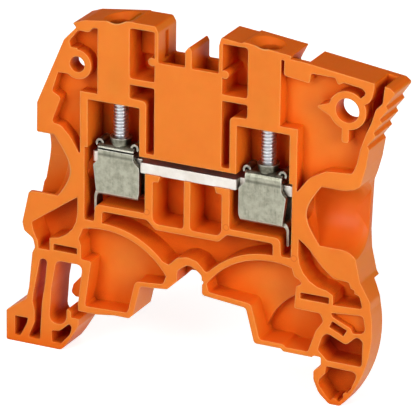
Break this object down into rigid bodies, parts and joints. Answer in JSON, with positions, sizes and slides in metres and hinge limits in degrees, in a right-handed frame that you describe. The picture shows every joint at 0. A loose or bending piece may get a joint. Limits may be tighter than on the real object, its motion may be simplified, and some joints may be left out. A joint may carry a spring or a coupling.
{
  "type": "feed-through terminal block",
  "caption": "Orange screw-clamp feed-through terminal block for a top-hat rail, open on one side, with clamp cages, a tinned current bar, wire funnels and a sprung rail foot.",
  "frame": {"origin": "middle of the rail seat: on the rail's middle line, at mid width of the block, in the plane where the legs rest on the rail", "axes": "+X along the block's length towards the ridged flap, the open side faces -Y and the rail runs along Y, +Z away from the rail"},
  "size_m": [0.0546, 0.0052, 0.0471],
  "materials": {
    "orange_plastic": "satin",
    "tinned_bar": "satin",
    "nickel_steel": "satin",
    "zinc_steel": "bright"
  },
  "bodies": {
    "block": {"housing": "orange_plastic", "current_bar": "tinned_bar"},
    "screw_left": {"clamp_screw_left": "zinc_steel"},
    "cage_left": {"clamp_cage_left": "nickel_steel"},
    "screw_right": {"clamp_screw_right": "zinc_steel"},
    "cage_right": {"clamp_cage_right": "nickel_steel"}
  },
  "joints": [
    {"name": "screw_left_turn", "type": "hinge", "parent": "block", "child": "screw_left", "pos_m": [-0.01195, -0.00055, 0.03075], "axis": [0, 0, -1], "range_deg": [0, 2881]},
    {"name": "cage_left_rise", "type": "slide", "parent": "block", "child": "cage_left", "axis": [0, 0, 1], "range_m": [0, 0.0036]},
    {"name": "screw_right_turn", "type": "hinge", "parent": "block", "child": "screw_right", "pos_m": [0.00895, -0.00055, 0.03075], "axis": [0, 0, -1], "range_deg": [0, 2881]},
    {"name": "cage_right_rise", "type": "slide", "parent": "block", "child": "cage_right", "axis": [0, 0, 1], "range_m": [0, 0.0036]}
  ],
  "couplings": [
    {"joint": "screw_left_turn", "follows": "cage_left_rise", "rad_per_m": 13963},
    {"joint": "screw_right_turn", "follows": "cage_right_rise", "rad_per_m": 13963}
  ]
}
